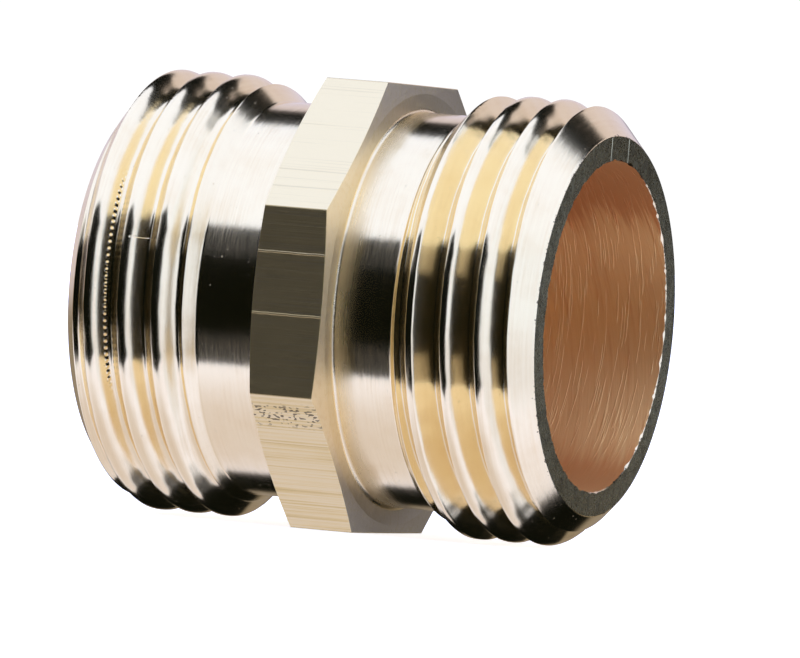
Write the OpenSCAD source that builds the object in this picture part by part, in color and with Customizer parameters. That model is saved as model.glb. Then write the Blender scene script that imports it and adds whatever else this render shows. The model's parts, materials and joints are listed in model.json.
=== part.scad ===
// Double-male garden hose connector, turned from octagonal brass bar.
// The bore runs along X, +Z is up, and the origin is where the bore axis meets the
// middle of the wrench collar. Both ends carry the same right-hand hose thread.

/* [Bar and bore] */
// Length over both end faces
overall_length = 30.3; // [28:0.1:40]
// Diameter of the through bore
bore_diameter = 20; // [14:0.1:21]
// Width of the small chamfer that breaks each edge of the bore
bore_edge_break = 0.12; // [0.05:0.01:0.4]

/* [Wrench collar] */
// Distance across opposite flats of the octagonal collar
across_flats = 27.2; // [27.1:0.1:34]
// Length of the collar along the bore
collar_width = 4.7; // [3:0.1:8]
// Diameter of the turned circle on each end face of the collar
collar_face_diameter = 26.2; // [25.4:0.1:27]
// Slope of the collar's corner chamfer on the -X side, from the end face, in degrees
collar_chamfer_minus = 15; // [2:1:30]
// Slope of the collar's corner chamfer on the +X side, from the end face, in degrees
collar_chamfer_plus = 10; // [2:1:30]

/* [Hose thread] */
// Threads per inch
threads_per_inch = 11.5; // [10:0.5:14]
// Outside diameter over the thread crests
thread_major_diameter = 26.9; // [26.5:0.05:27]
// Radial depth of the thread
thread_depth = 1.38; // [1:0.01:1.4]
// Width of the flat on the crest of the thread
crest_width = 0.4; // [0.3:0.01:0.6]
// Diameter where the end chamfer meets the end face
end_face_diameter = 23; // [22:0.1:25]
// Length along the bore of the end chamfer on the -X side
end_chamfer_minus = 1.5; // [0.5:0.05:2.2]
// Length along the bore of the end chamfer on the +X side
end_chamfer_plus = 1.85; // [0.5:0.05:2.2]

/* [Neck] */
// Diameter of the plain neck between thread and collar
neck_diameter = 24; // [22:0.1:24]
// Distance from the middle of the collar to the end of the -X neck
neck_end_minus = 6.5; // [5:0.05:8]
// Distance from the middle of the collar to the end of the +X neck
neck_end_plus = 6.15; // [5:0.05:8]
// Radius of the fillet where the neck meets the collar
neck_fillet = 0.2; // [0.1:0.05:0.6]

/* [Hidden] */

MM_PER_INCH = 25.4;
THREAD_ANGLE = 60;      // between the two flanks of one thread
STEPS_PER_TURN = 40;    // straight steps in one turn of the helix
FILLET_STEPS = 6;
OVERCUT = 1;            // how far a cutter runs past what it cuts
GROOVE_OVERCUT = 0.25;  // the same outside the thread, small so that its turns stay apart
ROUND = 180;            // $fn of every turned surface

half_length = overall_length / 2;
half_collar = collar_width / 2;
major_r = thread_major_diameter / 2;
root_r = major_r - thread_depth;
neck_r = neck_diameter / 2;
bore_r = bore_diameter / 2;
corner_r = across_flats / 2 / cos(22.5);
collar_face_r = collar_face_diameter / 2;
corner_cut = corner_r - collar_face_r;
pitch = MM_PER_INCH / threads_per_inch;
flank_run = tan(THREAD_ANGLE / 2);
root_width = pitch - crest_width - 2 * thread_depth * flank_run;

// Where the middle of a groove crosses the -Y side of each thread
groove_plus = 6.71;
groove_minus = -7.53;

// Half of the turned outline as [distance from collar middle, radius]
function half_outline(neck_end, end_chamfer) = concat(
    [[0, 0], [0, neck_r + neck_fillet]],
    [for (i = [0 : FILLET_STEPS])
        let (a = 90 * i / FILLET_STEPS)
        [half_collar + neck_fillet * (1 - cos(a)), neck_r + neck_fillet * (1 - sin(a))]],
    [[neck_end, neck_r],
     [neck_end + major_r - neck_r, major_r],
     [half_length - end_chamfer, major_r],
     [half_length, end_face_diameter / 2],
     [half_length, 0]]
);

// Turns an outline of [position, radius] points around the X axis
module turned(outline) {
    rotate([0, 90, 0])
        rotate_extrude($fn = ROUND)
            polygon([for (p = outline) [p[1], p[0]]]);
}

module turned_half(neck_end, end_chamfer) {
    turned(half_outline(neck_end, end_chamfer));
}

module collar_chamfers() {
    turned([
        [-half_collar, 0],
        [-half_collar, collar_face_r],
        [-half_collar + (corner_cut + OVERCUT) * tan(collar_chamfer_minus), corner_r + OVERCUT],
        [half_collar - (corner_cut + OVERCUT) * tan(collar_chamfer_plus), corner_r + OVERCUT],
        [half_collar, collar_face_r],
        [half_collar, 0]
    ]);
}

module wrench_collar() {
    intersection() {
        rotate([0, 90, 0])
            rotate([0, 0, 22.5])
                cylinder(r = corner_r, h = collar_width, center = true, $fn = 8);
        collar_chamfers();
    }
}

module bore() {
    turned([
        [-half_length - OVERCUT, 0],
        [-half_length - OVERCUT, bore_r + bore_edge_break + OVERCUT],
        [-half_length + bore_edge_break, bore_r],
        [half_length - bore_edge_break, bore_r],
        [half_length + OVERCUT, bore_r + bore_edge_break + OVERCUT],
        [half_length + OVERCUT, 0]
    ]);
}

// Half of the groove's width at a radius
function groove_half_width(r) = root_width / 2 + (r - root_r) * flank_run;

// One section of the groove; turn 0 is on the -Y side, and the thread is right-handed
function groove_section(x_front, turn) =
    let (
        x = x_front + pitch * turn,
        y_dir = cos(180 + 360 * turn),
        z_dir = sin(180 + 360 * turn),
        outer_r = major_r + GROOVE_OVERCUT
    )
    [for (s = [[-1, root_r], [1, root_r], [1, outer_r], [-1, outer_r]])
        [x + s[0] * groove_half_width(s[1]), s[1] * y_dir, s[1] * z_dir]];

// The helical V groove from one turn count to another, as one closed cutter
module thread_groove(x_front, first_turn, last_turn) {
    steps = round((last_turn - first_turn) * STEPS_PER_TURN);
    points = [for (i = [0 : steps])
        each groove_section(x_front, first_turn + i / STEPS_PER_TURN)];
    sides = [for (i = [0 : steps - 1])
        for (k = [0 : 3])
            let (a = 4 * i + k, b = 4 * i + (k + 1) % 4)
            each [[a, b + 4, b], [a, a + 4, b + 4]]];
    first_cap = [[0, 1, 2], [0, 2, 3]];
    n = 4 * steps;
    last_cap = [[n, n + 2, n + 1], [n, n + 3, n + 2]];
    polyhedron(points, concat(sides, first_cap, last_cap), convexity = 12);
}

// The groove starts over the neck, where there is nothing to cut, and leaves past the end
module thread_grooves() {
    turns_out = ceil((half_length + OVERCUT - groove_plus) / pitch);
    turns_out_minus = ceil((half_length + OVERCUT + groove_minus) / pitch);
    thread_groove(groove_plus, -0.7, turns_out);
    thread_groove(groove_minus, -turns_out_minus, 1.1);
}

module connector_body() {
    color("goldenrod")
    difference() {
        union() {
            turned_half(neck_end_plus, end_chamfer_plus);
            mirror([1, 0, 0]) turned_half(neck_end_minus, end_chamfer_minus);
            wrench_collar();
        }
        thread_grooves();
        bore();
    }
}

connector_body();
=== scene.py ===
"""Blender looks of a double-male garden hose connector in turned brass.

The whole part is one piece of metal, so the visual model is one closed mesh, built as a
torus of columns: each column is the part's closed outline at one angle round the bore.
Lengths are in millimetres until the mesh is written, and angles in degrees.
An angle of 0 is the side that faces the camera (-Y), and it grows upwards to +Z at 90.
"""

import json
import math

import bpy
import numpy as np
from mathutils import Matrix, Vector

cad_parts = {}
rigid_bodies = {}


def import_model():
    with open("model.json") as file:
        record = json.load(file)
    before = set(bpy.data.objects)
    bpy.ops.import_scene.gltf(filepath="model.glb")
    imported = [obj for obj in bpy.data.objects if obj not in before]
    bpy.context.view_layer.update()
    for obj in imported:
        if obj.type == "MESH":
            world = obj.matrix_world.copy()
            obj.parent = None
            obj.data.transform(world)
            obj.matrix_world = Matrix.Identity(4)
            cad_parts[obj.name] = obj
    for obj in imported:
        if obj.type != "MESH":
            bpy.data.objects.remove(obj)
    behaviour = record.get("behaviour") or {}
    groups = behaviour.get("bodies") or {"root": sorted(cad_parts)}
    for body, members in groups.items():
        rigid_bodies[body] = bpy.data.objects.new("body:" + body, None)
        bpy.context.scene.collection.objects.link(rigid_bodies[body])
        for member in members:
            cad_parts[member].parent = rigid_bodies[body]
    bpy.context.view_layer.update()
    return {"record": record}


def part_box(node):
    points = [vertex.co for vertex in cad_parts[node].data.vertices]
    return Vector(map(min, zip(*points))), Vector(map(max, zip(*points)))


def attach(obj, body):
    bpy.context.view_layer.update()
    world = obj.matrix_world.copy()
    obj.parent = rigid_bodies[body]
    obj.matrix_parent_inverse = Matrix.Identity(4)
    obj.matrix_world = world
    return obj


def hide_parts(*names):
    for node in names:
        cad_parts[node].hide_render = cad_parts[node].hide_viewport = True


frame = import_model()

# ---------------------------------------------------------------- dimensions, from the frame
MM = 0.001
NODE = "connector_body"
node_low, node_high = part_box(NODE)
mounts = {m["name"]: m for m in frame["record"]["mounts"]}

HALF_LENGTH = node_high.x / MM
HALF_FLATS = node_high.z / MM
BORE_R = mounts["through_bore"]["dims"]["r_mm"]
MAJOR_R = mounts["hose_thread_plus"]["dims"]["r_mm"]

# ---------------------------------------------------------------- dimensions, as in the CAD
PITCH = 25.4 / 11.5
THREAD_DEPTH = 1.38
ROOT_R = MAJOR_R - THREAD_DEPTH
CREST_WIDTH = 0.4
FLANK_SLOPE = math.tan(math.radians(60))
GROOVE_PLUS = 6.71              # where each groove crosses the side at angle 0
GROOVE_MINUS = -7.53
END_FACE_R = 11.5
END_CHAMFER_MINUS = 1.5
END_CHAMFER_PLUS = 1.85
NECK_R = 12.0
NECK_END_MINUS = 6.5
NECK_END_PLUS = 6.15
FILLET = 0.2
HALF_COLLAR = 2.35
COLLAR_FACE_R = 13.1
CHAMFER_MINUS = math.tan(math.radians(15))
CHAMFER_PLUS = math.tan(math.radians(10))
EDGE_BREAK = 0.12
ROOT_WIDTH = PITCH - CREST_WIDTH - 2 * THREAD_DEPTH / FLANK_SLOPE
FLAT_TURN = 45                  # from one flat of the octagon to the next
CORNER_TURN = FLAT_TURN / 2     # from the middle of a flat to its corner

# ---------------------------------------------------------------- edges that the CAD leaves sharp
ROOT_ROUNDING_MINUS = 0.33
ROOT_ROUNDING_PLUS = 0.11
GROOVE_WANDER = 0.02            # how far the groove strays along x
WANDER_WAVES = ((7, 0.5, 1), (19, 0.4, 0), (43, 0.3, 2))    # waves in a turn, share, phase
CREST_BLEND_LEFT = 0.07         # the -X side of every crest
CREST_BLEND_MINUS = 0.60        # the +X side of a crest on the -X thread
CREST_BLEND_FIRST = 0.12        # the same on the +X thread, near the collar and near the end
CREST_BLEND_LAST = 0.80
WORN_FROM = 8.0
WORN_TO = 12.4
BLEND_SHARE = 0.6               # a crest's blend is at most this share of the thread's height
LEAST_HEIGHT = 0.001
SLOPE_BLEND = 0.10
NECK_BLEND = 0.06
CHAMFER_BLEND = 0.05
END_ROUNDING = 0.12
BAR_CORNER = 0.15
COLLAR_ROUNDING = 0.05
COLLAR_SETBACK = 0.9            # of COLLAR_ROUNDING, how far that rounding goes in along x
BREAK_MEAN = 0.30               # width of the ragged bore edge, as shares of EDGE_BREAK
BREAK_SLOW = 0.15
BREAK_SLOW_WAVES = 4
BREAK_FAST = 0.40
BREAK_FAST_WAVES = 24
BREAK_LIMITS = (0.05, 1.3)
BREAK_SEED_MINUS = 5
BREAK_SEED_PLUS = 7

# ---------------------------------------------------------------- mesh density
COLUMN_STEP = 1.5               # degrees
THREAD_ROWS = 138
THREAD_SAMPLES = 4001           # places along a thread from which its rows are chosen
ROW_GAP = 0.16                  # a thread's rows part by this length, or by this much turning
ROW_TURN = math.radians(11)
BEVEL_ROWS = 3
END_FACE_ROWS = 9
END_EDGE_ROWS = 5
FILLET_ROWS = 7
COLLAR_FACE_ROWS = 5
CONE_ROWS = 4
FLAT_EDGE_ROWS = 4
FLAT_ROWS = 7
BORE_ROWS = 15
SMALL = 1e-4                    # step in mm for slopes found by difference


def smooth_min(a, b, blend):
    """The smaller of two lengths, rounded where they are within blend of each other."""
    h = np.clip(0.5 + 0.5 * (b - a) / blend, 0, 1)
    return b + (a - b) * h - blend * h * (1 - h)


def smooth_max(a, b, blend):
    return -smooth_min(-a, -b, blend)


# ---------------------------------------------------------------- outlines
def by_side(x, minus, plus):
    """One value for the -X half of the part and another for the +X half."""
    return np.where(x < 0, minus, plus)


def blank_radius(x):
    """Radius of the turned blank before its thread is cut, from the end face to the neck."""
    out = np.abs(x)
    slope = NECK_R + out - by_side(x, NECK_END_MINUS, NECK_END_PLUS)
    chamfer_length = by_side(x, END_CHAMFER_MINUS, END_CHAMFER_PLUS)
    chamfer = END_FACE_R + (HALF_LENGTH - out) * (MAJOR_R - END_FACE_R) / chamfer_length
    radius = smooth_max(NECK_R, smooth_min(slope, MAJOR_R, SLOPE_BLEND), NECK_BLEND)
    return smooth_min(radius, chamfer, CHAMFER_BLEND)


def crest_blend(x):
    """How worn the +X side of a crest is. On the +X thread it grows towards the end."""
    worn = np.interp(x, (WORN_FROM, WORN_TO), (CREST_BLEND_FIRST, CREST_BLEND_LAST))
    return by_side(x, CREST_BLEND_MINUS, worn)


def thread_radius(x, angle, groove_front):
    """Radius of a threaded end: the blank, cut by a right-hand V groove with a round root."""
    turn = np.radians(angle)
    wander = sum(share * np.sin(waves * turn + phase) for waves, share, phase in WANDER_WAVES)
    groove = groove_front - PITCH * angle / 360 + GROOVE_WANDER * wander
    from_groove = x - groove - PITCH * np.floor((x - groove) / PITCH)
    rounding = by_side(x, ROOT_ROUNDING_MINUS, ROOT_ROUNDING_PLUS)
    point_r = ROOT_R - FLANK_SLOPE * ROOT_WIDTH / 2
    left_wall = point_r + FLANK_SLOPE * np.hypot(from_groove, rounding)
    right_wall = point_r + FLANK_SLOPE * np.hypot(PITCH - from_groove, rounding)
    blank = blank_radius(x)
    height = np.clip(blank - ROOT_R, LEAST_HEIGHT, None)
    radius = smooth_min(blank, right_wall, np.minimum(crest_blend(x), BLEND_SHARE * height))
    return smooth_min(radius, left_wall, np.minimum(CREST_BLEND_LEFT, BLEND_SHARE * height))


def flat_angle(angle):
    """Angle from the middle of the nearest flat of the octagon."""
    return (angle + CORNER_TURN) % FLAT_TURN - CORNER_TURN


# ---------------------------------------------------------------- columns
def column_angles():
    """Even steps round the part, and a close pair at each corner of the octagon."""
    even = np.arange(-180, 180, COLUMN_STEP)
    turn = math.radians(CORNER_TURN)
    corner_r = HALF_FLATS / math.cos(turn)
    reach = BAR_CORNER * math.tan(turn) * math.cos(turn) / corner_r
    corners = np.arange(CORNER_TURN - 180, 180, FLAT_TURN)
    pairs = np.concatenate([corners - math.degrees(reach), corners + math.degrees(reach)])
    return np.sort(np.concatenate([even, pairs]))


ANGLES = column_angles()
COLUMNS = len(ANGLES)


class Zone:
    """Rows of one stretch of the outline: x, r and the normal's parts, each rows x columns."""

    def __init__(self, x, r, normal_x, normal_r, normal_t=0.0, skin=0):
        shape = np.broadcast_shapes(np.shape(x), np.shape(r), (1, COLUMNS))
        self.x = np.broadcast_to(x, shape).astype(float)
        self.r = np.broadcast_to(r, shape).astype(float)
        parts = [np.broadcast_to(p, shape).astype(float) for p in (normal_x, normal_r, normal_t)]
        length = np.sqrt(sum(p * p for p in parts))
        self.normal = [p / length for p in parts]
        self.skin = skin


def steps(rows):
    """Even steps from 0 to 1, one for each row."""
    return np.linspace(0, 1, rows)[:, None]


def arc(centre_x, centre_r, radius, start, stop, rows, skin, concave=False):
    """Rounded edge; start and stop are the directions of the radius, from +r towards +X."""
    turn = np.radians(np.linspace(start, stop, rows))[:, None]
    side = -1 if concave else 1
    x = centre_x + radius * np.sin(turn)
    r = centre_r + radius * np.cos(turn)
    return Zone(x, r, side * np.sin(turn), side * np.cos(turn), 0.0, skin)


def thread_rows(x_start, x_end, groove_front):
    """Rows of x for every column, close together where the outline turns."""
    x = np.linspace(x_start, x_end, THREAD_SAMPLES)
    step = x[1] - x[0]
    radius = thread_radius(x[:, None], ANGLES[None, :], groove_front)
    slope = np.gradient(radius, step, axis=0)
    turn = np.abs(np.gradient(np.arctan(slope), step, axis=0))
    density = np.sqrt(1 + slope * slope) / ROW_GAP + turn / ROW_TURN
    mass = np.cumsum(density, axis=0)
    mass = (mass - mass[0]) / (mass[-1] - mass[0])
    wanted = np.linspace(0, 1, THREAD_ROWS)
    return np.stack([np.interp(wanted, mass[:, j], x) for j in range(COLUMNS)], axis=1)


def thread_zone(x_start, x_end, groove_front, skin):
    x = thread_rows(x_start, x_end, groove_front)
    angle = ANGLES[None, :]
    radius = thread_radius(x, angle, groove_front)
    by_x = (thread_radius(x + SMALL, angle, groove_front)
            - thread_radius(x - SMALL, angle, groove_front)) / (2 * SMALL)
    small_angle = math.degrees(SMALL)
    by_angle = (thread_radius(x, angle + small_angle, groove_front)
                - thread_radius(x, angle - small_angle, groove_front)) / (2 * SMALL)
    return Zone(x, radius, -by_x, 1.0, -by_angle / radius, skin)


# ---------------------------------------------------------------- the closed outline
SKIN_TURNED, SKIN_FLAT, SKIN_FACE, SKIN_BORE = range(4)


def wobble(seed, detail, count=14):
    """Smooth closed noise round the part, about -1 to 1, the same at every run."""
    rng = np.random.default_rng(seed)
    total = np.zeros(COLUMNS)
    for k in range(count):
        share = rng.normal()
        phase = rng.uniform(0, 6.3)
        waves = round(detail * (1 + k / 3))
        total += share * np.sin(np.radians(ANGLES) * waves + phase)
    return total / math.sqrt(count)


def ragged_break(seed):
    """Width of the broken bore edge, which a blunt tool left ragged."""
    slow = BREAK_SLOW * wobble(seed, BREAK_SLOW_WAVES)
    fast = BREAK_FAST * wobble(seed + 1, BREAK_FAST_WAVES, BREAK_FAST_WAVES)
    ragged = slow + fast
    return EDGE_BREAK * np.clip(BREAK_MEAN + ragged, *BREAK_LIMITS)


def end_zones(side, edge_break):
    """End face, its rounded outer edge and the broken bore edge, ordered outwards."""
    chamfer_length = END_CHAMFER_MINUS if side < 0 else END_CHAMFER_PLUS
    slant = math.degrees(math.atan2(MAJOR_R - END_FACE_R, chamfer_length))
    turn = 90 - slant
    reach = END_ROUNDING * math.tan(math.radians(turn / 2))
    face_x = side * HALF_LENGTH
    inner = BORE_R + edge_break
    face_r = inner + (END_FACE_R - reach - inner) * steps(END_FACE_ROWS)
    face = Zone(face_x, face_r, side, 0.0, 0.0, SKIN_FACE)
    edge = arc(side * (HALF_LENGTH - END_ROUNDING), END_FACE_R - reach, END_ROUNDING,
               side * 90, side * slant, END_EDGE_ROWS, SKIN_TURNED)
    rows = steps(BEVEL_ROWS)
    bevel = Zone(side * (HALF_LENGTH - edge_break * (1 - rows)), BORE_R + edge_break * rows,
                 side, -1.0, 0.0, SKIN_TURNED)
    return [bevel, face, edge]


def at_corners():
    """True for the columns that run along a corner of the octagon."""
    return np.abs(np.abs(flat_angle(ANGLES)) - CORNER_TURN) < 1e-6


def bar_radius():
    """Radius of the octagonal bar at each column, cut back a little at its corners."""
    bar_r = HALF_FLATS / np.cos(np.radians(flat_angle(ANGLES)))
    return bar_r - at_corners() * BAR_CORNER * (1 / math.cos(math.radians(CORNER_TURN)) - 1)


def collar_half(side, slope):
    """Neck fillet, collar face and cone, ordered outwards."""
    fillet_x = side * (HALF_COLLAR + FILLET)
    fillet = arc(fillet_x, NECK_R + FILLET, FILLET, 180, 180 + side * 90,
                 FILLET_ROWS, SKIN_TURNED, concave=True)
    inner = NECK_R + FILLET
    face_r = inner + (COLLAR_FACE_R - inner) * steps(COLLAR_FACE_ROWS)
    face = Zone(side * HALF_COLLAR, face_r, side, 0.0, 0.0, SKIN_FACE)
    edge_r = bar_radius() - COLLAR_ROUNDING
    cone_r = COLLAR_FACE_R + (edge_r - COLLAR_FACE_R) * steps(CONE_ROWS)
    cone = Zone(side * (HALF_COLLAR - (cone_r - COLLAR_FACE_R) * slope), cone_r,
                side, slope, 0.0, SKIN_FACE)
    return [fillet, face, cone]


def flat_zones():
    """The flats, with a small rounding to the cone at each side."""
    lean = np.where(at_corners(), 0.0, np.radians(flat_angle(ANGLES)))
    radial = np.cos(lean)
    across = -np.sin(lean)
    bar_r = bar_radius()
    edge_r = bar_r - COLLAR_ROUNDING
    turns = steps(FLAT_EDGE_ROWS)
    edges = []
    for side, slope in ((-1, CHAMFER_MINUS), (1, CHAMFER_PLUS)):
        x_edge = side * (HALF_COLLAR - (edge_r - COLLAR_FACE_R) * slope)
        start = math.atan(slope)
        bend = start + (math.pi / 2 - start) * turns
        x = x_edge - side * COLLAR_ROUNDING * (1 - np.cos(bend - start)) * COLLAR_SETBACK
        r = edge_r + COLLAR_ROUNDING * np.sin(turns * math.pi / 2)
        outwards = np.sin(bend)
        edges.append(Zone(x, r, side * np.cos(bend), outwards * radial, outwards * across, SKIN_FLAT))
    left, right = edges[0].x[-1], edges[1].x[-1]
    flat = Zone(left + (right - left) * steps(FLAT_ROWS), bar_r, 0.0, radial, across, SKIN_FLAT)
    return edges[0], flat, edges[1]


def reverse(zone):
    """The same zone with its rows in the opposite order."""
    return Zone(zone.x[::-1], zone.r[::-1], *[n[::-1] for n in zone.normal], zone.skin)


def bore_zone(break_minus, break_plus):
    start = HALF_LENGTH - break_plus
    stop = -HALF_LENGTH + break_minus
    return Zone(start + (stop - start) * steps(BORE_ROWS), BORE_R, 0.0, -1.0, 0.0, SKIN_BORE)


def outline_zones():
    """Every zone, in order round the closed outline: up the -X end, along to +X, back by the bore."""
    break_minus = ragged_break(BREAK_SEED_MINUS)
    break_plus = ragged_break(BREAK_SEED_PLUS)
    end_minus = end_zones(-1, break_minus)
    end_plus = end_zones(1, break_plus)
    half_minus = collar_half(-1, CHAMFER_MINUS)
    half_plus = collar_half(1, CHAMFER_PLUS)
    flat_minus, flat, flat_plus = flat_zones()
    neck_x = HALF_COLLAR + FILLET
    start = end_minus[-1].x[-1, 0]
    stop = end_plus[-1].x[-1, 0]
    thread_minus = thread_zone(start, -neck_x, GROOVE_MINUS, SKIN_TURNED)
    thread_plus = thread_zone(neck_x, stop, GROOVE_PLUS, SKIN_TURNED)
    zones = end_minus + [thread_minus] + half_minus + [flat_minus, flat, reverse(flat_plus)]
    zones += [reverse(z) for z in half_plus[::-1]] + [thread_plus]
    zones += [reverse(z) for z in end_plus[::-1]] + [bore_zone(break_minus, break_plus)]
    return zones


# ---------------------------------------------------------------- mesh
def to_space(along, radial, tangential, angle):
    """Vector parts along x, outwards and round the part, turned into X, Y and Z."""
    turn = np.radians(angle)
    y = -radial * np.cos(turn) + tangential * np.sin(turn)
    z = radial * np.sin(turn) + tangential * np.cos(turn)
    return np.stack([along, y, z], axis=-1)


def build_mesh(name, zones, materials):
    """One closed mesh from the zones, where each zone's last row is the next one's first."""
    points = []
    faces = []
    normals = []
    skins = []
    first_row = 0
    total_rows = sum(len(z.x) - 1 for z in zones)
    here = np.arange(COLUMNS)
    there = (here + 1) % COLUMNS
    for zone in zones:
        rows = len(zone.x)
        place = to_space(zone.x, zone.r, np.zeros_like(zone.r), ANGLES[None, :])
        points.append(place[:-1].reshape(-1, 3))
        normal = to_space(zone.normal[0], zone.normal[1], zone.normal[2], ANGLES[None, :])
        for i in range(rows - 1):
            low = ((first_row + i) % total_rows) * COLUMNS
            high = ((first_row + i + 1) % total_rows) * COLUMNS
            quad = np.stack([low + here, high + here, high + there, low + there], axis=1)
            faces.append(quad)
            corner = np.stack([normal[i, here], normal[i + 1, here],
                               normal[i + 1, there], normal[i, there]], axis=1)
            normals.append(corner)
            skins.append(np.full(COLUMNS, zone.skin))
        first_row += rows - 1
    points = np.concatenate(points) * MM
    faces = np.concatenate(faces)
    normals = np.concatenate(normals).reshape(-1, 3)
    skins = np.concatenate(skins)
    mesh = bpy.data.meshes.new(name)
    mesh.from_pydata(points.tolist(), [], faces.tolist())
    for material in materials:
        mesh.materials.append(material)
    mesh.polygons.foreach_set("material_index", skins.astype(np.int32))
    mesh.polygons.foreach_set("use_smooth", np.ones(len(faces), bool))
    mesh.validate()
    mesh.update()
    mesh.normals_split_custom_set(normals.tolist())
    piece = bpy.data.objects.new(name, mesh)
    bpy.context.scene.collection.objects.link(piece)
    return piece


# ---------------------------------------------------------------- shader helpers
class Graph:
    """Short names for making nodes in one node tree."""

    def __init__(self, tree):
        self.tree = tree
        self.tree.nodes.clear()

    def add(self, kind, **settings):
        node = self.tree.nodes.new(kind)
        for key, value in settings.items():
            setattr(node, key, value)
        return node

    def link(self, source, target):
        self.tree.links.new(source, target)

    def feed(self, socket, value):
        if isinstance(value, bpy.types.NodeSocket):
            self.link(value, socket)
        else:
            socket.default_value = value

    def math(self, operation, a, b=0.0):
        node = self.add("ShaderNodeMath", operation=operation)
        for socket, value in zip(node.inputs, (a, b)):
            self.feed(socket, value)
        return node.outputs[0]

    def times(self, a, b):
        return self.math("MULTIPLY", a, b)

    def plus(self, a, b):
        return self.math("ADD", a, b)

    def between(self, value, low, high, soft):
        """1 between low and high, and 0 outside, with a soft edge of that width."""
        rise = self.ramp(value, low - soft / 2, low + soft / 2)
        fall = self.ramp(value, high + soft / 2, high - soft / 2)
        return self.times(rise, fall)

    def ramp(self, value, start, stop, low=0.0, high=1.0):
        """Goes smoothly from low to high as value goes from start to stop."""
        node = self.add("ShaderNodeMapRange", interpolation_type="SMOOTHSTEP")
        self.feed(node.inputs["Value"], value)
        node.inputs["From Min"].default_value = start
        node.inputs["From Max"].default_value = stop
        node.inputs["To Min"].default_value = low
        node.inputs["To Max"].default_value = high
        return node.outputs["Result"]

    def combine(self, x, y, z):
        node = self.add("ShaderNodeCombineXYZ")
        for socket, value in zip(node.inputs, (x, y, z)):
            self.feed(socket, value)
        return node.outputs[0]

    def noise(self, vector, detail):
        node = self.add("ShaderNodeTexNoise")
        self.link(vector, node.inputs["Vector"])
        node.inputs["Scale"].default_value = 1.0
        node.inputs["Detail"].default_value = detail
        node.inputs["Roughness"].default_value = 0.6
        return node.outputs["Fac"]

    def mix_color(self, factor, a, b):
        node = self.add("ShaderNodeMix", data_type="RGBA")
        self.feed(node.inputs["Factor"], factor)
        for name, value in (("A", a), ("B", b)):
            socket = [s for s in node.inputs if s.name == name and s.type == "RGBA"][0]
            self.feed(socket, value if isinstance(value, bpy.types.NodeSocket) else (*value, 1.0))
        return [s for s in node.outputs if s.type == "RGBA"][0]


# ---------------------------------------------------------------- brass
BRASS = (0.98, 0.80, 0.45)
BRASS_DULL = (0.93, 0.72, 0.38)
DRAWN = (0.96, 0.77, 0.40)
DRAWN_DULL = (0.90, 0.66, 0.25)
FACED = (0.66, 0.59, 0.33)
FACED_DULL = (0.42, 0.38, 0.21)
COLLAR_FACED = (1.0, 0.83, 0.52)
BORED = (1.0, 0.68, 0.27)
# The bore's dull colour is also the colour of its painted shade at the top and bottom.
BORED_DULL = (0.80, 0.40, 0.13)
# Colour of tarnish and dirt, and also of the painted shade on the front flat, the collar faces, the
# bore and the end edges.
TARNISH_AND_SHADE = (0.10, 0.07, 0.04)

DRAG_LINES = (2.8, -0.9)        # heights of the two drag lines along the front flat
DRAG_HALF = 0.05                # half the width of one
DRAG_HEIGHT = 0.03
DRAG_WANDER = 0.25
PITS_FROM = -7.4                # the band of pits across the lower flat
PITS_TO = -6.2
PIT_DEPTH = 0.02
FACE_SCRATCHES = (-1.3, 1.5)    # where two scratches cross the top of each end face
SCRATCH_HALF = 0.05
SCRATCH_HEIGHT = 0.05
CHATTER_X = -12.24              # chattered flank of the -X thread, on the -Y side
CHATTER_HALF = 0.06
CHATTER_FROM = -0.42            # radians from the -Y side
CHATTER_TO = 0.50
CHATTER_RATE = 190              # of the sine round the part: about 30 teeth to a radian
CHATTER_HEIGHT = 0.035
NICK_Z = 3.1                    # height and ends of a nick along the -X thread
NICK_HALF = 0.04
NICK_START = -10.8
NICK_END = -9.9
NICK_DEPTH = 0.02
RAGGED_SHADE_REACH = 0.8                # how unevenly the painted shade of the ragged end edges reaches in from them
RAGGED_SHADE_START = 0.43
BORE_SLANT = 0.22               # how far the drill's turns lean along x for each mm of height

# Places between which a look fades in or out, in mm
NECK_DULL = (0.0, 3.6)          # along x, where the +X neck is less glossy
FRONT_FADE = (0.06, 0.02)       # behind the front flat's plane, where the front flat's painted shade and its drag lines fade in
LOWER_DULL = (-4.0, -7.0)       # heights
END_FADE = (0.4, 0.2)           # in from the end face's plane
SCRATCHED_TOP = (8.0, 9.0)      # heights
COLLAR_SHADE_HEIGHTS = (7.5, 11.0)       # heights above and below the axis, where the collar faces' painted shade fades in
BORE_SCRATCHED = (4.0, 11.0)    # along x
BORE_SHADE_HEIGHTS = (5.5, 9.5)       # heights above and below the axis, where the bore's painted shade fades in


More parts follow.
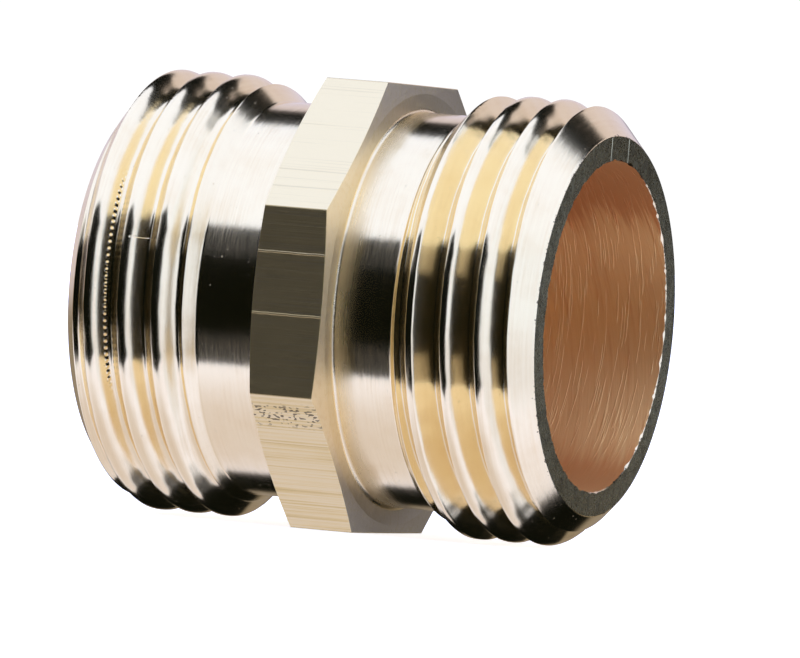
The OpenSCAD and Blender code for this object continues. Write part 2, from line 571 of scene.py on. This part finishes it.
class Metal:
    """Brass with its tool marks. Heights are in mm, and the marks' rates are per mm."""

    def __init__(self, name):
        self.material = bpy.data.materials.new(name)
        self.material.use_nodes = True
        self.graph = graph = Graph(self.material.node_tree)
        output = graph.add("ShaderNodeOutputMaterial")
        self.shader = graph.add("ShaderNodeBsdfPrincipled")
        graph.link(self.shader.outputs[0], output.inputs["Surface"])
        self.shader.inputs["Metallic"].default_value = 1.0
        place = graph.add("ShaderNodeTexCoord").outputs["Object"]
        split = graph.add("ShaderNodeSeparateXYZ")
        graph.link(place, split.inputs[0])
        self.x, self.y, self.z = [graph.times(s, 1 / MM) for s in split.outputs]
        y_squared = graph.times(self.y, self.y)
        z_squared = graph.times(self.z, self.z)
        self.radius = graph.math("SQRT", graph.plus(y_squared, z_squared))
        self.height = None
        self.tone = None
        self.dark = None

    def marks(self, rates, detail=3.0, along=None):
        """Noise that changes along x, y and z at these rates; along can stand in for x."""
        graph = self.graph
        places = (along or self.x, self.y, self.z)
        vector = graph.combine(*[graph.times(v, r) for v, r in zip(places, rates)])
        return graph.noise(vector, detail)

    def add_height(self, value, amount):
        part = self.graph.times(value, amount)
        self.height = part if self.height is None else self.graph.plus(self.height, part)

    def add_tone(self, value, amount):
        """More of the dull colour, and a little rougher."""
        part = self.graph.times(value, amount)
        self.tone = part if self.tone is None else self.graph.plus(self.tone, part)

    def add_dark(self, value, amount):
        """Tarnish, dirt and painted shade, which hide part of the metal's colour."""
        part = self.graph.times(value, amount)
        self.dark = part if self.dark is None else self.graph.math("MAXIMUM", self.dark, part)

    def finish(self, color, dull, roughness, brushed, round_marks):
        """Sets the shader. The gloss is drawn out across the marks, which run round or along x."""
        graph = self.graph
        inputs = self.shader.inputs
        bump = graph.add("ShaderNodeBump")
        bump.inputs["Strength"].default_value = 1.0
        bump.inputs["Distance"].default_value = MM
        graph.link(self.height, bump.inputs["Height"])
        graph.link(bump.outputs[0], inputs["Normal"])
        tone = graph.ramp(self.tone, 0.35, 0.75)
        metal_color = graph.mix_color(tone, color, dull)
        if self.dark is not None:
            metal_color = graph.mix_color(self.dark, metal_color, TARNISH_AND_SHADE)
        graph.link(metal_color, inputs["Base Color"])
        unevenness = graph.ramp(tone, 0.0, 1.0, 0.9, 1.15)
        graph.link(graph.times(unevenness, roughness), inputs["Roughness"])
        tangent = graph.add("ShaderNodeTangent", direction_type="RADIAL", axis="X")
        graph.link(tangent.outputs[0], inputs["Tangent"])
        inputs["Anisotropic"].default_value = brushed
        inputs["Anisotropic Rotation"].default_value = 0.25 if round_marks else 0.0
        return self.material


def turned_brass():
    """Necks and threads: rings, specks, one chattered flank and a nick, and painted shade along the
    ragged end edges.
    """
    metal = Metal("brass_turned")
    graph = metal.graph
    rings = metal.marks((9.0, 0.12, 0.12))
    metal.add_height(rings, 0.0022)
    metal.add_height(metal.marks((2.2, 0.05, 0.05), 1.0), 0.004)
    specks = graph.ramp(metal.marks((4.5, 4.5, 4.5), 1.0), 0.76, 0.83)
    metal.add_height(specks, -0.012)
    frontwards = graph.times(metal.y, -1.0)
    angle = graph.math("ARCTAN2", metal.z, frontwards)
    helix = graph.plus(metal.x, graph.times(angle, PITCH / (2 * math.pi)))
    on_flank = graph.between(helix, CHATTER_X - CHATTER_HALF, CHATTER_X + CHATTER_HALF, 0.06)
    chattered = graph.times(on_flank, graph.between(angle, CHATTER_FROM, CHATTER_TO, 0.30))
    teeth = graph.math("SINE", graph.times(angle, CHATTER_RATE))
    metal.add_height(graph.times(chattered, teeth), CHATTER_HEIGHT)
    metal.add_height(metal.marks((4.0, 0.6, 0.6), 2.0), 0.006)
    on_nick = graph.between(metal.z, NICK_Z - NICK_HALF, NICK_Z + NICK_HALF, 0.04)
    nicked = graph.between(metal.x, NICK_START, NICK_END, 0.1)
    metal.add_height(graph.times(on_nick, nicked), -NICK_DEPTH)
    # Painted shade: ragged dark bands along the end edges stand in for a battered edge.
    ragged_shade = graph.times(metal.marks((3.0, 3.0, 3.0)), RAGGED_SHADE_REACH)
    outwards = graph.plus(graph.math("ABSOLUTE", metal.x), ragged_shade)
    shade_start_x = HALF_LENGTH + RAGGED_SHADE_START
    metal.add_dark(graph.ramp(outwards, shade_start_x, shade_start_x + 0.04), 0.85)
    metal.add_tone(rings, 0.45)
    metal.add_tone(metal.marks((0.5, 0.5, 0.5)), 0.5)
    by_collar = graph.between(metal.x, *NECK_DULL, 1.6)
    roughness = graph.ramp(by_collar, 0.0, 1.0, 0.18, 0.30)
    return metal.finish(BRASS, BRASS_DULL, roughness, 0.85, True)


def drawn_brass():
    """Flats of the bar: draw lines, small pits, and a front flat with two drag lines and painted
    shade.
    """
    metal = Metal("brass_drawn")
    graph = metal.graph
    lines = metal.marks((0.05, 7.0, 7.0), 3.0)
    metal.add_height(lines, 0.020)
    metal.add_height(metal.marks((0.06, 1.1, 1.1), 1.0), 0.02)
    on_front = graph.ramp(metal.y, *[depth - HALF_FLATS for depth in FRONT_FADE])
    wander = graph.times(metal.marks((0.5, 0.0, 0.0), 2.0), DRAG_WANDER)
    height = graph.math("SUBTRACT", metal.z, wander)
    for mark in DRAG_LINES:
        line = graph.between(height, mark - DRAG_HALF, mark + DRAG_HALF, 0.06)
        metal.add_height(graph.times(line, on_front), DRAG_HEIGHT)
    lower = graph.between(metal.z, PITS_FROM, PITS_TO, 0.5)
    holes = graph.ramp(metal.marks((4.0, 7.0, 7.0), 0.0), 0.62, 0.68)
    pits = graph.times(holes, lower)
    metal.add_height(pits, -PIT_DEPTH)
    metal.add_dark(pits, 0.8)
    metal.add_dark(graph.ramp(lines, 0.56, 0.72), 0.18)
    metal.add_tone(graph.ramp(lines, 0.35, 0.65), 0.30)
    metal.add_tone(metal.marks((0.3, 0.8, 0.8)), 0.2)
    metal.add_tone(graph.ramp(metal.z, *LOWER_DULL), 0.25)
    # Painted shade: the front flat is made duller and darker than the other flats.
    metal.add_tone(on_front, 0.5)
    metal.add_dark(on_front, 0.42)
    return metal.finish(DRAWN, DRAWN_DULL, 0.31, 0.75, False)


def faced_brass():
    """End faces with rings and two scratches at the top, and collar faces with painted shade far from
    the axis.
    """
    metal = Metal("brass_faced")
    graph = metal.graph
    rings = metal.marks((7.0, 0.25, 0.25), 4.0, metal.radius)
    metal.add_height(rings, 0.006)
    rough = metal.marks((2.6, 2.6, 2.6), 5.0)
    metal.add_height(rough, 0.02)
    out = graph.math("ABSOLUTE", metal.x)
    at_end = graph.ramp(out, *[HALF_LENGTH - depth for depth in END_FADE])
    at_top = graph.times(at_end, graph.ramp(metal.z, *SCRATCHED_TOP))
    for mark in FACE_SCRATCHES:
        line = graph.between(metal.y, mark - SCRATCH_HALF, mark + SCRATCH_HALF, 0.08)
        metal.add_height(graph.times(line, at_top), SCRATCH_HEIGHT)
    metal.add_tone(rings, 0.4)
    metal.add_tone(graph.ramp(rough, 0.35, 0.65), 0.4)
    blotches = graph.ramp(metal.marks((1.2, 1.2, 1.2), 3.0), 0.48, 0.62)
    metal.add_dark(graph.times(blotches, at_end), 0.30)
    # Painted shade: the collar faces are made darker far from the axis.
    far_out = graph.ramp(graph.math("ABSOLUTE", metal.z), *COLLAR_SHADE_HEIGHTS)
    at_collar = graph.math("SUBTRACT", 1.0, at_end)
    metal.add_dark(graph.times(far_out, at_collar), 0.45)
    color = graph.mix_color(at_end, COLLAR_FACED, FACED)
    dull = graph.mix_color(at_end, BRASS, FACED_DULL)
    roughness = graph.ramp(at_end, 0.0, 1.0, 0.50, 0.30)
    return metal.finish(color, dull, roughness, 0.3, True)


def bored_brass():
    """The bore: coarse slanting turns left by the drill, scratches near +X, and painted shade towards
    its top and bottom.
    """
    metal = Metal("brass_bored")
    graph = metal.graph
    slanted = graph.plus(metal.x, graph.times(metal.z, BORE_SLANT))
    turns = metal.marks((4.0, 0.2, 0.2), 4.0, slanted)
    metal.add_height(turns, 0.03)
    scratches = graph.ramp(metal.marks((6.0, 0.25, 0.25), 1.0), 0.58, 0.66)
    near_end = graph.ramp(metal.x, *BORE_SCRATCHED)
    metal.add_height(graph.times(scratches, near_end), 0.035)
    metal.add_tone(turns, 0.75)
    # Painted shade: the bore is made duller and darker towards its top and bottom.
    high = graph.math("ABSOLUTE", graph.plus(metal.z, graph.times(turns, 1.5)))
    bore_shade = graph.ramp(high, *BORE_SHADE_HEIGHTS)
    metal.add_tone(bore_shade, 0.5)
    metal.add_dark(bore_shade, 0.15)
    return metal.finish(BORED, BORED_DULL, 0.72, 0.4, True)


def make_materials():
    return [turned_brass(), drawn_brass(), faced_brass(), bored_brass()]


# ---------------------------------------------------------------- camera
CAMERA_AZIMUTH = math.radians(22.17)
CAMERA_ELEVATION = math.radians(0.68)
CAMERA_ROLL = math.radians(4.68)
CAMERA_DISTANCE = 702.3 * MM
CAMERA_LENS = 521.1
AIM_RIGHT = 1.61 * MM
AIM_UP = -1.35 * MM


def camera_axes():
    """Right, up and forward of the camera."""
    sin_a, cos_a = math.sin(CAMERA_AZIMUTH), math.cos(CAMERA_AZIMUTH)
    sin_e, cos_e = math.sin(CAMERA_ELEVATION), math.cos(CAMERA_ELEVATION)
    forward = Vector((-sin_a * cos_e, cos_a * cos_e, -sin_e))
    right = Vector((cos_a, sin_a, 0))
    up = right.cross(forward)
    turned_right = math.cos(CAMERA_ROLL) * right + math.sin(CAMERA_ROLL) * up
    turned_up = math.cos(CAMERA_ROLL) * up - math.sin(CAMERA_ROLL) * right
    return turned_right, turned_up, forward


def add_camera():
    right, up, forward = camera_axes()
    data = bpy.data.cameras.new("camera")
    data.lens = CAMERA_LENS
    data.sensor_width = 36.0
    data.clip_start = 0.01
    data.clip_end = 100.0
    camera = bpy.data.objects.new("camera", data)
    place = -forward * CAMERA_DISTANCE + right * AIM_RIGHT + up * AIM_UP
    axes = Matrix((right, up, -forward)).transposed().to_4x4()
    camera.matrix_world = Matrix.Translation(place) @ axes
    bpy.context.scene.collection.objects.link(camera)
    bpy.context.scene.camera = camera


# ---------------------------------------------------------------- studio light
WHITE_STRENGTH = 1.05
AMBIENT = (0.004, 0.005, 0.004)
LEFT_HIGH_COLOR = (0.80, 0.90, 1.40)
LEFT_LOW_COLOR = (0.72, 0.76, 1.10)
SIDE_COLOR = (0.96, 1.15, 1.90)
SIDE_COLOR_LOW = (0.88, 1.00, 1.60)
OVERHEAD_COLOR = (1.01, 1.20, 2.02)
TABLE_COLOR = (1.02, 1.14, 1.88)
TABLE_COLOR_BELOW = (0.73, 0.72, 0.98)
WALL_COLOR = (0.73, 0.70, 0.93)
LOW_WALL_COLOR = (0.30, 0.26, 0.22)

# Where each panel starts and ends, as shares of its distance
SHEET_SPAN = (-5.0, 1.50)       # the overhead and table sheets, to the right and to the back
OVERHEAD_DEPTH = (-1.20, 0.70)
TABLE_DEPTH = (-1.20, 0.76)
SHEET_SLANT = -0.35
SIDE_DEPTH = (-1.9, 0.52)       # to the back and up
SIDE_RISE = (-0.78, 0.78)
WALL_SPAN = (-3.0, 1.7)         # to the right and up
WALL_RISE = (0.06, 0.66)
WALL_SLANT = 0.24
LOW_WALL_SPAN = (-3.0, 1.0)     # to the right and down
LOW_WALL_DROP = (0.05, 0.40)
LEFT_DEPTH = (-0.6, 1.6)        # both left panels, to the back and up or down
LEFT_RISE = (0.40, 3.0)

FLOOR_HALF = 3.0                # metres
FLOOR_WHITE = 0.9
FLOOR_GLOW = 0.75


def panel(graph, toward, first, second, first_range, second_range, soft, slant=0.0):
    """Mask of a flat panel that faces the part. toward, first and second are the direction's
    parts, the ranges are places on a panel at distance 1, and slant turns the panel's edges."""
    depth = graph.math("MAXIMUM", toward, 0.001)
    ahead = graph.math("GREATER_THAN", toward, 0.0)
    first = graph.math("DIVIDE", first, depth)
    second = graph.math("DIVIDE", second, depth)
    second = graph.math("SUBTRACT", second, graph.times(first, slant))
    in_first = graph.between(first, *first_range, soft)
    in_second = graph.between(second, *second_range, soft)
    return graph.times(ahead, graph.times(in_first, in_second))


def add_world():
    """White to the eye, and a set of softboxes round the part to light it and be seen in it."""
    world = bpy.data.worlds.new("studio")
    bpy.context.scene.world = world
    world.use_nodes = True
    graph = Graph(world.node_tree)
    output = graph.add("ShaderNodeOutputWorld")
    direction = graph.add("ShaderNodeTexCoord").outputs["Generated"]
    turn = graph.add("ShaderNodeVectorRotate", rotation_type="Z_AXIS")
    graph.link(direction, turn.inputs["Vector"])
    turn.inputs["Angle"].default_value = -CAMERA_AZIMUTH
    split = graph.add("ShaderNodeSeparateXYZ")
    graph.link(turn.outputs[0], split.inputs[0])
    right, back, up = split.outputs
    down = graph.times(up, -1.0)
    overhead = panel(graph, up, right, back, SHEET_SPAN, OVERHEAD_DEPTH, 0.06, SHEET_SLANT)
    table = panel(graph, down, right, back, SHEET_SPAN, TABLE_DEPTH, 0.06, SHEET_SLANT)
    side = panel(graph, right, back, up, SIDE_DEPTH, SIDE_RISE, 0.12)
    wall = panel(graph, back, right, up, WALL_SPAN, WALL_RISE, 0.10, WALL_SLANT)
    left = graph.times(right, -1.0)
    left_high = panel(graph, left, back, up, LEFT_DEPTH, LEFT_RISE, 0.10)
    left_low = panel(graph, left, back, down, LEFT_DEPTH, LEFT_RISE, 0.10)
    low_wall = panel(graph, back, right, down, LOW_WALL_SPAN, LOW_WALL_DROP, 0.15)
    below = graph.ramp(down, 0.55, 0.98)
    low_side = graph.ramp(up, 0.05, -0.30)
    lights = [                  # each is laid over the ones before it
        (left_high, LEFT_HIGH_COLOR),
        (left_low, LEFT_LOW_COLOR),
        (side, graph.mix_color(low_side, SIDE_COLOR, SIDE_COLOR_LOW)),
        (overhead, OVERHEAD_COLOR),
        (table, graph.mix_color(below, TABLE_COLOR, TABLE_COLOR_BELOW)),
        (wall, WALL_COLOR),
        (low_wall, LOW_WALL_COLOR),
    ]
    total = AMBIENT
    for mask, color in lights:
        total = graph.mix_color(mask, total, color)
    studio = graph.add("ShaderNodeBackground")
    graph.link(total, studio.inputs["Color"])
    white = graph.add("ShaderNodeBackground")
    white.inputs["Color"].default_value = (1.0, 1.0, 1.0, 1.0)
    white.inputs["Strength"].default_value = WHITE_STRENGTH
    seen = graph.add("ShaderNodeLightPath").outputs["Is Camera Ray"]
    choose = graph.add("ShaderNodeMixShader")
    graph.link(seen, choose.inputs[0])
    graph.link(studio.outputs[0], choose.inputs[1])
    graph.link(white.outputs[0], choose.inputs[2])
    graph.link(choose.outputs[0], output.inputs["Surface"])


def add_floor():
    """A plain pale floor under the part, for its faint shadow. The brass doesn't mirror it."""
    side = FLOOR_HALF
    mesh = bpy.data.meshes.new("floor")
    corners = [(-side, -side, 0), (side, -side, 0), (side, side, 0), (-side, side, 0)]
    mesh.from_pydata(corners, [], [(0, 1, 2, 3)])
    floor = bpy.data.objects.new("floor", mesh)
    floor.location.z = node_low.z
    bpy.context.scene.collection.objects.link(floor)
    material = bpy.data.materials.new("pale_floor")
    material.use_nodes = True
    graph = Graph(material.node_tree)
    output = graph.add("ShaderNodeOutputMaterial")
    shader = graph.add("ShaderNodeBsdfPrincipled")
    shader.inputs["Base Color"].default_value = (FLOOR_WHITE, FLOOR_WHITE, FLOOR_WHITE, 1.0)
    shader.inputs["Roughness"].default_value = 0.9
    shader.inputs["Emission Color"].default_value = (1.0, 1.0, 1.0, 1.0)
    shader.inputs["Emission Strength"].default_value = FLOOR_GLOW
    graph.link(shader.outputs[0], output.inputs["Surface"])
    mesh.materials.append(material)
    floor.visible_glossy = False


# ---------------------------------------------------------------- put together
add_camera()
add_world()
add_floor()
bpy.context.scene.view_settings.view_transform = "Standard"

body = build_mesh("turned_body", outline_zones(), make_materials())
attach(body, "root")
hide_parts(NODE)
print("turned_body:", len(body.data.polygons) * 2, "triangles")
